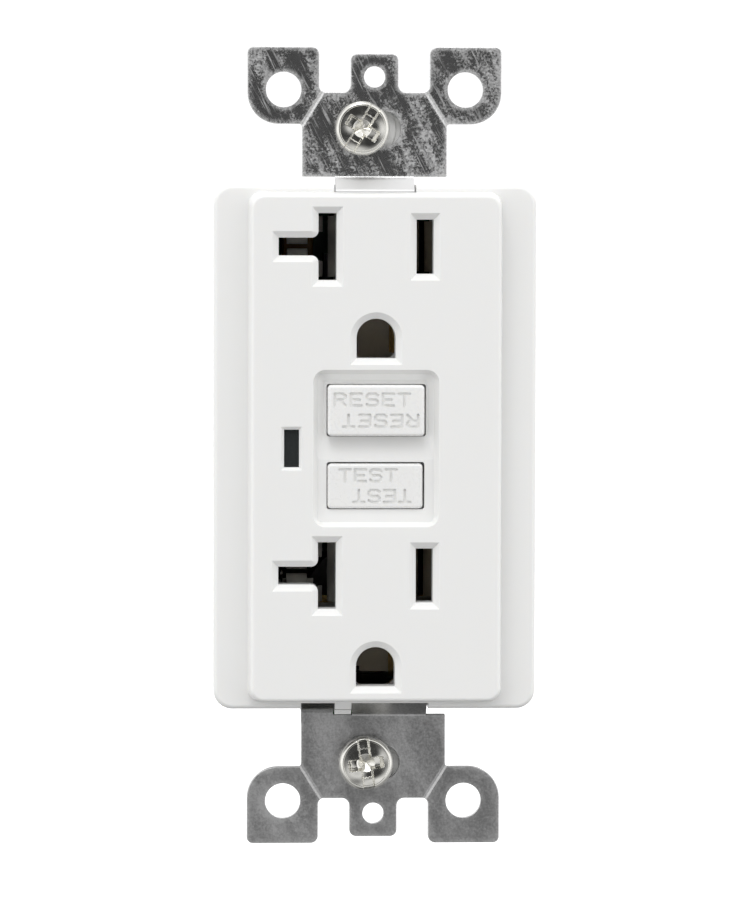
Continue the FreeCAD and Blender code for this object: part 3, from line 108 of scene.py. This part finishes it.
def noise(tree, scale, detail=3.0, stretch=(1, 1, 1), turn=(0, 0, 0), rough=0.55):
    """Noise on the piece's own coordinates; scale is in features per metre, before the stretch."""
    where = node(tree, "ShaderNodeTexCoord").outputs["Object"]
    turned = node(tree, "ShaderNodeMapping", {"Vector": where, "Rotation": turn})
    mapped = node(tree, "ShaderNodeMapping", {"Vector": turned.outputs[0], "Scale": stretch})
    return node(tree, "ShaderNodeTexNoise", {"Vector": mapped.outputs[0], "Scale": scale, "Detail": detail,
                                             "Roughness": rough}).outputs["Fac"]


def ramp(tree, value, *stops):
    """Colour ramp through (position, grey or colour) stops."""
    made = node(tree, "ShaderNodeValToRGB", {"Fac": value})
    while len(made.color_ramp.elements) < len(stops):
        made.color_ramp.elements.new(0.5)
    for element, (place, colour) in zip(made.color_ramp.elements, stops):
        element.position = place
        grey = isinstance(colour, (int, float))
        element.color = (colour, colour, colour, 1) if grey else (*colour, 1)
    return made.outputs["Color"]


def mix(tree, factor, first, second):
    made = node(tree, "ShaderNodeMix", data_type="RGBA")
    for socket, value in ((made.inputs[0], factor), (made.inputs[6], first), (made.inputs[7], second)):
        if isinstance(value, bpy.types.NodeSocket):
            tree.links.new(value, socket)
        elif isinstance(value, tuple):
            socket.default_value = (*value, 1)
        else:
            socket.default_value = value
    return made.outputs[2]


def bump(tree, shader, height, strength, distance):
    made = node(tree, "ShaderNodeBump", {"Height": height, "Strength": strength, "Distance": distance})
    tree.links.new(made.outputs[0], shader.inputs["Normal"])


# ---------------------------------------------------------------- materials
def plastic(name, colour, roughness=0.32, grain=0.10, subsurface=0.0):
    """Moulded plastic: very faint mottling in colour, slightly uneven gloss and a fine moulded grain."""
    material, tree, shader = new_material(name)
    darker = tuple(c * 0.996 for c in colour)
    tree.links.new(mix(tree, noise(tree, 900, 4), darker, colour), shader.inputs["Base Color"])
    gloss = ramp(tree, noise(tree, 1900, 3), (0.3, roughness - 0.02), (0.7, roughness + 0.02))
    tree.links.new(gloss, shader.inputs["Roughness"])
    shader.inputs["IOR"].default_value = 1.5
    if subsurface:
        shader.inputs["Subsurface Weight"].default_value = subsurface
        shader.inputs["Subsurface Scale"].default_value = 0.0012
        shader.inputs["Subsurface Radius"].default_value = (1.0, 0.9, 0.75)
    bump(tree, shader, noise(tree, 2600, 4), grain, 0.00004)
    return material


def metal(name, colour, roughness=0.3, scratch=0.25, mottling=0.12, grain=0.15):
    """Rolled or plated metal with soft blotches, fine scratches and uneven gloss."""
    material, tree, shader = new_material(name)
    blotch = noise(tree, 420, 5, rough=0.65)
    lines = noise(tree, 900, 4, stretch=(1, 1, 0.06), turn=(0, 0.7, 0))
    low = tuple(c * (1 - mottling) for c in colour)
    high = tuple(min(1, c * (1 + mottling)) for c in colour)
    tree.links.new(mix(tree, blotch, low, high), shader.inputs["Base Color"])
    shader.inputs["Metallic"].default_value = 1.0
    gloss = mix(tree, scratch, ramp(tree, blotch, (0.3, roughness - 0.08), (0.7, roughness + 0.08)),
                ramp(tree, lines, (0.4, roughness - 0.1), (0.6, roughness + 0.15)))
    tree.links.new(gloss, shader.inputs["Roughness"])
    bump(tree, shader, noise(tree, 1500, 5), grain, 0.00004)
    return material


def edge_mask(tree, reach, low, high):
    """White within reach of a sharp edge, fading inwards."""
    rounded = node(tree, "ShaderNodeBevel", {"Radius": reach}, samples=6).outputs[0]
    flat = node(tree, "ShaderNodeNewGeometry").outputs["Normal"]
    lined_up = node(tree, "ShaderNodeVectorMath", {0: rounded, 1: flat},
                    operation="DOT_PRODUCT").outputs["Value"]
    return node(tree, "ShaderNodeMapRange", {"Value": lined_up, "From Min": 1 - low, "From Max": 1 - high},
                interpolation_type="SMOOTHSTEP").outputs[0]


def worn_zinc_with_painted_sheen(name):
    """Zinc-plated strap: dark and glossy where whole, pale where rubbed, and smoother at its lower end. A paler
    band along its edges is a painted highlight, and its paler upper neck is a painted reflection.
    """
    material, tree, shader = new_material(name)
    where = node(tree, "ShaderNodeTexCoord").outputs["Object"]
    place = node(tree, "ShaderNodeSeparateXYZ", {"Vector": where}).outputs
    upper = node(tree, "ShaderNodeMapRange", {"Value": place["Z"], "From Min": -ENDS_BLEND,
                                              "From Max": ENDS_BLEND}).outputs[0]
    neck = node(tree, "ShaderNodeMapRange", {"Value": place["Y"], "From Min": NECK_START,
                                             "From Max": NECK_END}).outputs[0]
    slant = (0, math.radians(RUB_SLANT), 0)
    patches = noise(tree, 380, 6, rough=0.75)
    streaks = noise(tree, 560, 3, stretch=(1, 1, 0.18), turn=slant)
    specks = noise(tree, 3600, 3, rough=0.7)
    scratches = noise(tree, 3400, 2, stretch=(1, 1, 0.06), turn=slant)
    edges = edge_mask(tree, 0.0011, 0.002, 0.05)
    # Pale areas: rubbed patches and streaks, and a band along the edges that is a painted highlight, all broken
    # up by specks and crossed by scratches
    score = math_node(tree, "MULTIPLY_ADD", patches, 0.45, math_node(tree, "MULTIPLY", streaks, 0.45))
    score = math_node(tree, "MULTIPLY_ADD", specks, 0.50, score)
    score = math_node(tree, "MULTIPLY_ADD", edges, 0.16, score)
    rubbed_and_edge_sheen = node(tree, "ShaderNodeMapRange", {"Value": score, "From Min": 0.68, "From Max": 0.85},
                  interpolation_type="SMOOTHSTEP").outputs[0]
    lines = node(tree, "ShaderNodeMapRange", {"Value": scratches, "From Min": 0.57,
                                              "From Max": 0.68}).outputs[0]
    rubbed_and_edge_sheen = math_node(tree, "MAXIMUM", rubbed_and_edge_sheen, math_node(tree, "MULTIPLY", lines, 0.8))
    # Colour of the pale areas: the rubbed wear and the painted edge highlight alike
    rubbed_and_sheen_colour = ramp(tree, specks, (0.35, 0.48), (0.62, 0.74))
    # The upper neck's 0.68 grey is a painted reflection of the bright room on the climbing ramp; its rougher
    # gloss there is not painted
    upper_colour = mix(tree, neck, mix(tree, rubbed_and_edge_sheen, (0.50, 0.50, 0.50), rubbed_and_sheen_colour), (0.68, 0.68, 0.68))
    stains = noise(tree, 240, 6, stretch=(1, 1, 0.4), turn=slant, rough=0.68)
    lower_tone = math_node(tree, "MULTIPLY_ADD", specks, 0.42, math_node(tree, "MULTIPLY", stains, 0.58))
    lower_colour = ramp(tree, lower_tone, (0.40, 0.40), (0.60, 0.60))
    tree.links.new(mix(tree, upper, lower_colour, upper_colour), shader.inputs["Base Color"])
    shader.inputs["Metallic"].default_value = 1.0
    upper_gloss = mix(tree, neck, mix(tree, rubbed_and_edge_sheen, (0.22,) * 3, (0.46,) * 3), (0.55,) * 3)
    edge_gloss = math_node(tree, "MULTIPLY_ADD", edges, 0.2, lower_tone)
    lower_gloss = ramp(tree, edge_gloss, (0.40, 0.28), (0.70, 0.42))
    tree.links.new(mix(tree, upper, lower_gloss, upper_gloss), shader.inputs["Roughness"])
    bump(tree, shader, math_node(tree, "ADD", specks, scratches), 0.12, 0.00003)
    return material


def clear(name, colour, roughness=0.08, transmission=0.85):
    material, _, shader = new_material(name)
    shader.inputs["Base Color"].default_value = (*colour, 1)
    shader.inputs["Roughness"].default_value = roughness
    shader.inputs["Transmission Weight"].default_value = transmission
    shader.inputs["IOR"].default_value = 1.5
    return material


MATERIALS = {
    "housing_plastic": plastic("white_plastic", (0.86, 0.86, 0.85), 0.30, 0.05, 0.12),
    "button_plastic": plastic("button_plastic", (0.85, 0.85, 0.84), 0.28, 0.05, 0.12),
    "back_plastic": plastic("back_plastic", (0.58, 0.58, 0.57), 0.45, 0.25),
    "inner_plastic": plastic("inner_plastic", (0.62, 0.62, 0.61), 0.45, 0.2),
    "washer_plastic": plastic("washer_plastic", (0.90, 0.90, 0.89), 0.45, 0.1),
    "transformer_plastic": plastic("transformer_plastic", (0.02, 0.02, 0.022), 0.4, 0.2),
    "ferrite": plastic("ferrite", (0.03, 0.03, 0.032), 0.6, 0.4),
    "circuit_board": plastic("circuit_board", (0.02, 0.11, 0.045), 0.3, 0.2),
    "varistor_coating": plastic("varistor_coating", (0.02, 0.07, 0.32), 0.25, 0.2),
    "capacitor_case": plastic("capacitor_case", (0.42, 0.22, 0.04), 0.25, 0.1),
    "semiconductor_case": plastic("semiconductor_case", (0.012, 0.012, 0.014), 0.45, 0.3),
    "resistor_coating": plastic("resistor_coating", (0.50, 0.38, 0.20), 0.3, 0.1),
    "zinc_steel": worn_zinc_with_painted_sheen("zinc_steel"),
    "steel": metal("nickel_steel", (0.74, 0.73, 0.69), 0.13, 0.2, 0.05, 0.05),
    "spring_steel": metal("spring_steel", (0.45, 0.45, 0.46), 0.28),
    "black_steel": metal("black_steel", (0.06, 0.06, 0.065), 0.4),
    "green_steel": metal("green_steel", (0.05, 0.26, 0.09), 0.3),
    "brass": metal("brass", (0.78, 0.57, 0.24), 0.24),
    "contact_brass": metal("contact_brass", (0.62, 0.58, 0.50), 0.48),
    "tinned_brass": metal("tinned_brass", (0.72, 0.71, 0.68), 0.48),
    "silver_alloy": metal("silver_alloy", (0.75, 0.74, 0.71), 0.2),
    "copper_wire": metal("copper_wire", (0.55, 0.20, 0.07), 0.3),
    "light_pipe_plastic": clear("light_pipe_plastic", (0.05, 0.055, 0.055), 0.12, 0.4),
    "led_lens": clear("led_lens", (0.20, 0.45, 0.24), 0.2),
}


def dress(obj, slot):
    """Gives a piece the material of its slot in the record."""
    obj.data.materials.clear()
    obj.data.materials.append(MATERIALS[slot])


# ---------------------------------------------------------------- mesh helpers
def skin(rings):
    """Points and faces of a surface through rings of equal count, from the first ring to the last."""
    count = len(rings[0])
    points = [point for ring in rings for point in ring]
    faces = []
    for i in range(len(rings) - 1):
        low, high = i * count, (i + 1) * count
        faces += [(low + k, low + (k + 1) % count, high + (k + 1) % count, high + k) for k in range(count)]
    return points, faces


def circle(radius, height, facets, wobble=None):
    """A ring of points; wobble(x, y) is added to its height."""
    ring = []
    for k in range(facets):
        angle = 2 * math.pi * k / facets
        x, y = radius * math.cos(angle), radius * math.sin(angle)
        ring.append((x, y, height + (wobble(x, y) if wobble else 0.0)))
    return ring


def add_piece(name, surfaces, cad_node, sharp=38.0):
    """One object from surfaces in millimetres; it stands for a CAD node and rides on that node's body."""
    points, faces = [], []
    for part_points, part_faces in surfaces:
        offset = len(points)
        points += [tuple(c * MM for c in point) for point in part_points]
        faces += [tuple(offset + k for k in face) for face in part_faces]
    mesh = bpy.data.meshes.new(name)
    mesh.from_pydata(points, [], faces)
    mesh.validate()
    mesh.shade_smooth()
    mesh.set_sharp_from_angle(angle=math.radians(sharp))
    obj = bpy.data.objects.new(name, mesh)
    bpy.context.scene.collection.objects.link(obj)
    dress(obj, SLOT_OF[cad_node])
    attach(obj, BODY_OF[cad_node])
    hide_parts(cad_node)
    return obj


# ---------------------------------------------------------------- screws
def eased(value):
    value = min(1.0, max(0.0, value))
    return value * value * (3 - 2 * value)


def recess_depth(x, y, reach, depth):
    """Depth of the full-width slot along X and of the cross, with a conical pit in its middle."""
    def arm(across, along):
        return eased((ARM_HALF + 0.1 - abs(across)) / 0.2) * eased((reach + 0.2 - abs(along)) / 0.5)
    slot = SLOT_SHARE * depth * eased((SLOT_HALF + 0.1 - abs(y)) / 0.2)
    pit = max(0.0, PIT_RADIUS - math.hypot(x, y)) / PIT_RADIUS
    cross = max(arm(x, y), arm(y, x)) * depth * (CROSS_SHARE + PIT_SHARE * pit)
    return max(slot, cross)


def dents(x, y):
    """Slight unevenness that stamping the recess leaves on a head."""
    return 0.055 * math.sin(1.9 * x + 0.8 * y + 0.7) + 0.045 * math.sin(1.5 * y - 1.1 * x - 0.4)


def head_surface(radius, thick, reach, hexagon_flats=0.0):
    """A head on the origin, facing +Z: a low dome inside a rounded rim, or a bevelled hexagon."""
    inner = radius - RIM_WIDTH

    def sunk(x, y):
        return dents(x, y) * eased(1.6 - 1.6 * math.hypot(x, y) / radius) - recess_depth(x, y, reach, thick)

    rings = []
    steps = 60
    for i in range(steps + 1):
        r = max(0.02, inner * i / steps)
        rings.append(circle(r, thick - r * r / DOME_CURVE, HEAD_FACETS, sunk))
    edge = thick - inner * inner / DOME_CURVE
    # A small step up to the rim, then its rounded outside
    rings.append(circle(inner + RIM_STEP, edge + RIM_STEP, HEAD_FACETS, sunk))
    for i in range(1, 13):
        angle = math.pi / 2 * i / 12
        r = inner + 0.1 + (RIM_WIDTH - 0.1) * math.sin(angle)
        z = edge + RIM_STEP - RIM_DROP * (1 - math.cos(angle))
        rings.append(circle(r, z, HEAD_FACETS, sunk))
    rings.append(circle(radius, 0.25, HEAD_FACETS))
    rings.append(circle(radius - 0.2, 0.0, HEAD_FACETS))
    rings.append(circle(1.0, 0.0, HEAD_FACETS))
    if hexagon_flats:
        rings = [hexagonal(ring, radius, hexagon_flats) for ring in rings]
    return skin(rings)


def hexagonal(ring, radius, flats):
    """Moves a round ring out to a hexagon, the more so the nearer it is to the head's edge."""
    moved = []
    for x, y, z in ring:
        r, angle = math.hypot(x, y), math.atan2(y, x)
        to_flat = (angle + math.pi / 6) % (math.pi / 3) - math.pi / 6
        hexagon = flats / 2 / math.cos(to_flat)
        share = max(0.0, (r / radius - 0.8) / 0.2)
        k = 1 + (hexagon / radius - 1) * share
        moved.append((x * k, y * k, z))
    return moved


def thread_surface(radius, start, end):
    """A helical thread along -Z from start to end, run out at both ends, with a conical tip."""
    tip, rings = 0.8, []
    rows = int((start - end) / (THREAD_PITCH / 8))
    for i in range(rows + 1):
        z = start + (end - start) * i / rows
        point = min(1.0, 0.55 + 0.45 * (z - end) / tip)
        run_out = eased((start - z) / THREAD_PITCH)
        ring = []
        for k in range(SHANK_FACETS):
            angle = 2 * math.pi * k / SHANK_FACETS
            phase = (z / THREAD_PITCH - k / SHANK_FACETS) % 1.0
            groove = THREAD_DEPTH * abs(2 * phase - 1) ** 0.9 * run_out
            r = (radius - groove) * point
            ring.append((r * math.cos(angle), r * math.sin(angle), z))
        rings.append(ring)
    rings.append(circle(0.02, end, SHANK_FACETS))
    return skin(rings)


def screw_surfaces(head, thick, shank, length, reach, neck=None, hexagon_flats=0.0):
    """All surfaces of one screw, along -Z from under its head; neck is an undercut's (radius, length)."""
    neck_r, neck_l = neck or (shank - 0.25, 0.5)
    collar = skin([circle(neck_r, 0.02, SHANK_FACETS), circle(neck_r, -neck_l - 0.05, SHANK_FACETS)])
    return [head_surface(head, thick, reach, hexagon_flats), collar, thread_surface(shank, -neck_l, -length)]


def placed(surfaces, at, outward, turn):
    """The surfaces with their +Z turned to outward, after a turn about their own axis."""
    facing = Vector((0, 0, 1)).rotation_difference(Vector(outward)).to_matrix().to_4x4()
    move = Matrix.Translation(at) @ facing @ Matrix.Rotation(math.radians(turn), 4, "Z")
    return [([tuple(move @ Vector(point)) for point in points], faces) for points, faces in surfaces]


def screws():
    boxed = screw_surfaces(3.55, 2.3, 1.74, 27.0, 2.15, neck=(1.5, 4.2))
    for end, at, turn in (("upper", (-1.65, -1.3, 41.67), 58), ("lower", (-1.0, -1.3, -41.67), 98)):
        add_piece(f"{end}_box_screw_threaded", placed(boxed, at, (0, -1, 0), turn), f"{end}_box_screw")
    terminal = screw_surfaces(3.85, 2.1, 2.0, 6.9, 2.2)
    for side, pole in ((1, "hot"), (-1, "neutral")):
        for place, z, turn in (("line", -17.5, 15), ("load", 17.5, 70)):
            made = placed(terminal, (side * 18.52, 9.6, z), (side, 0, 0), turn * side)
            add_piece(f"{place}_{pole}_screw_threaded", made, f"{place}_{pole}_screw")
    small = screw_surfaces(2.7, 1.6, 1.4, 27.0, 1.6)
    four = []
    for sx, sz in ((-1, -1), (-1, 1), (1, -1), (1, 1)):
        four += placed(small, (sx * 17.2, 24.62, sz * 30.5), (0, 1, 0), 35 * sx + 20 * sz)
    add_piece("assembly_screws_threaded", four, "assembly_screws")
    ground = screw_surfaces(3.5, 1.85, 2.0, 5.2, 2.0, hexagon_flats=7.0)
    add_piece("ground_screw_threaded", placed(ground, (-5.4, 7.0, -36.12), (0, 0, -1), 20), "ground_screw")


# ---------------------------------------------------------------- springs
def coil(radius, wire, turns, start, end):
    """A compression spring from start to end whose first and last turns lie closed."""
    a, b = Vector(start), Vector(end)
    along = (b - a).normalized()
    side = along.orthogonal().normalized()
    other = along.cross(side)
    length, steps, rings = (b - a).length, 28, []
    closed = 0.8
    total = turns * steps
    free_rise = length - wire - 2 * closed * wire
    for i in range(total + 1):
        turn = i / steps
        rise = wire * min(turn, closed) + wire * max(0.0, turn - (turns - closed))
        rise += free_rise * min(1.0, max(0.0, turn - closed) / (turns - 2 * closed))
        angle = 2 * math.pi * turn
        out = side * math.cos(angle) + other * math.sin(angle)
        centre = a + along * (wire / 2 + rise) + out * radius
        rings.append([tuple(centre + (out * math.cos(t) + along * math.sin(t)) * (wire / 2))
                      for t in (2 * math.pi * k / 10 for k in range(10))])
    points, faces = skin(rings)
    faces += [tuple(range(9, -1, -1)), tuple(range(len(points) - 10, len(points)))]
    return [(points, faces)]


def springs():
    """Springs for the reset button and the plunger, each coiled between its free end and its seat, with a mesh
    of its own.
    """
    free, seat = (0, -2.2, 4.95), (0, 3.95, 4.95)
    reset = add_piece("reset_spring_coil", coil(1.9, 0.45, 6, free, seat), "reset_spring")
    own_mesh(reset)
    free, seat = (0, 13.5, 29.4), (0, 13.5, 25.2)
    plunger = add_piece("plunger_spring_coil", coil(1.45, 0.35, 6, seat, free), "plunger_spring")
    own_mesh(plunger)


# ---------------------------------------------------------------- light, floor and camera
def area_light(name, place, target, size, watts):
    lamp = bpy.data.lights.new(name, "AREA")
    lamp.shape, lamp.size, lamp.energy = "DISK", size, watts
    holder = bpy.data.objects.new(name, lamp)
    bpy.context.scene.collection.objects.link(holder)
    holder.location = place
    holder.rotation_mode = "QUATERNION"
    holder.rotation_quaternion = (Vector(target) - Vector(place)).to_track_quat("-Z", "Y")


def studio():
    """A bright room, darker below, with a dark patch behind the viewer that bare metal mirrors.

    Two soft lamps stand in it, one in front and one behind.
    """
    world = bpy.data.worlds.new("studio")
    bpy.context.scene.world = world
    world.use_nodes = True
    tree = world.node_tree
    background = tree.nodes["Background"]
    where = node(tree, "ShaderNodeTexCoord").outputs["Generated"]
    height = node(tree, "ShaderNodeSeparateXYZ", {"Vector": where}).outputs["Z"]
    up = node(tree, "ShaderNodeMapRange", {"Value": height, "From Min": 0.0, "From Max": 1.0,
                                           "To Min": ROOM_LEVEL, "To Max": ROOM_ABOVE}).outputs[0]
    down = node(tree, "ShaderNodeMapRange", {"Value": height,
                                             "From Min": LEVEL_FADE[0], "From Max": LEVEL_FADE[1],
                                             "To Min": ROOM_BELOW, "To Max": ROOM_LEVEL},
                interpolation_type="SMOOTHSTEP").outputs[0]
    nadir = node(tree, "ShaderNodeMapRange", {"Value": height,
                                              "From Min": NADIR_FADE[0], "From Max": NADIR_FADE[1],
                                              "To Min": ROOM_NADIR, "To Max": ROOM_LEVEL},
                 interpolation_type="SMOOTHSTEP").outputs[0]
    room = math_node(tree, "MINIMUM", math_node(tree, "MINIMUM", up, down), nadir)
    patch = math.radians(PATCH_ELEVATION)
    towards = (0, -math.cos(patch), math.sin(patch))
    aligned = node(tree, "ShaderNodeVectorMath", {0: where, 1: towards},
                   operation="DOT_PRODUCT").outputs["Value"]
    outer, inner = math.cos(math.radians(PATCH_OUTER)), math.cos(math.radians(PATCH_INNER))
    inside = node(tree, "ShaderNodeMapRange", {"Value": aligned, "From Min": outer, "From Max": inner},
                  interpolation_type="SMOOTHSTEP").outputs[0]
    lit = mix(tree, inside, room, (PATCH_TONE,) * 3)
    seen = node(tree, "ShaderNodeLightPath").outputs["Is Camera Ray"]
    tree.links.new(mix(tree, seen, lit, (BACKDROP_TONE,) * 3), background.inputs["Color"])
    area_light("key", (-0.12, -0.50, 0.75), (0, 0, 0), 0.5, 2.2)
    area_light("back", (0.3, 0.9, 0.6), (0, 0, 0), 0.6, 3.0)
    bpy.context.scene.view_settings.view_transform = "Standard"


def floor():
    """A white floor far below, which is only seen; it neither lights the outlet nor is mirrored in it."""
    mesh = bpy.data.meshes.new("floor")
    half, z = 6.0, -0.30
    corners = [(-half, -half, z), (half, -half, z), (half, half, z), (-half, half, z)]
    mesh.from_pydata(corners, [], [(0, 1, 2, 3)])
    obj = bpy.data.objects.new("floor", mesh)
    bpy.context.scene.collection.objects.link(obj)
    obj.visible_diffuse = False
    obj.visible_glossy = False
    obj.visible_transmission = False
    material, _, shader = new_material("floor")
    shader.inputs["Base Color"].default_value = (0.9, 0.9, 0.9, 1)
    shader.inputs["Roughness"].default_value = 0.9
    shader.inputs["Emission Color"].default_value = (1, 1, 1, 1)
    shader.inputs["Emission Strength"].default_value = 0.3
    mesh.materials.append(material)


def camera():
    """A view from in front, a little above the outlet's middle and to its left."""
    azimuth, elevation, roll = math.radians(-2.6), math.radians(2.69), math.radians(0.13)
    distance, target = 0.6578, Vector((-0.00084, 0.0, -0.0010))
    level = math.cos(elevation)
    back = Vector((math.sin(azimuth) * level, -math.cos(azimuth) * level, math.sin(elevation)))
    lens = bpy.data.cameras.new("camera")
    lens.sensor_width, lens.lens = 36.0, 198.37
    lens.clip_start, lens.clip_end = 0.01, 50
    holder = bpy.data.objects.new("camera", lens)
    bpy.context.scene.collection.objects.link(holder)
    holder.rotation_mode = "QUATERNION"
    holder.location = target + back * distance
    turn = (-back).to_track_quat("-Z", "Y")
    holder.rotation_quaternion = (Matrix.Rotation(roll, 3, back) @ turn.to_matrix()).to_quaternion()
    bpy.context.scene.camera = holder


for cad_name, cad_object in NODES.items():
    dress(cad_object, SLOT_OF[cad_name])
screws()
springs()
studio()
floor()
camera()
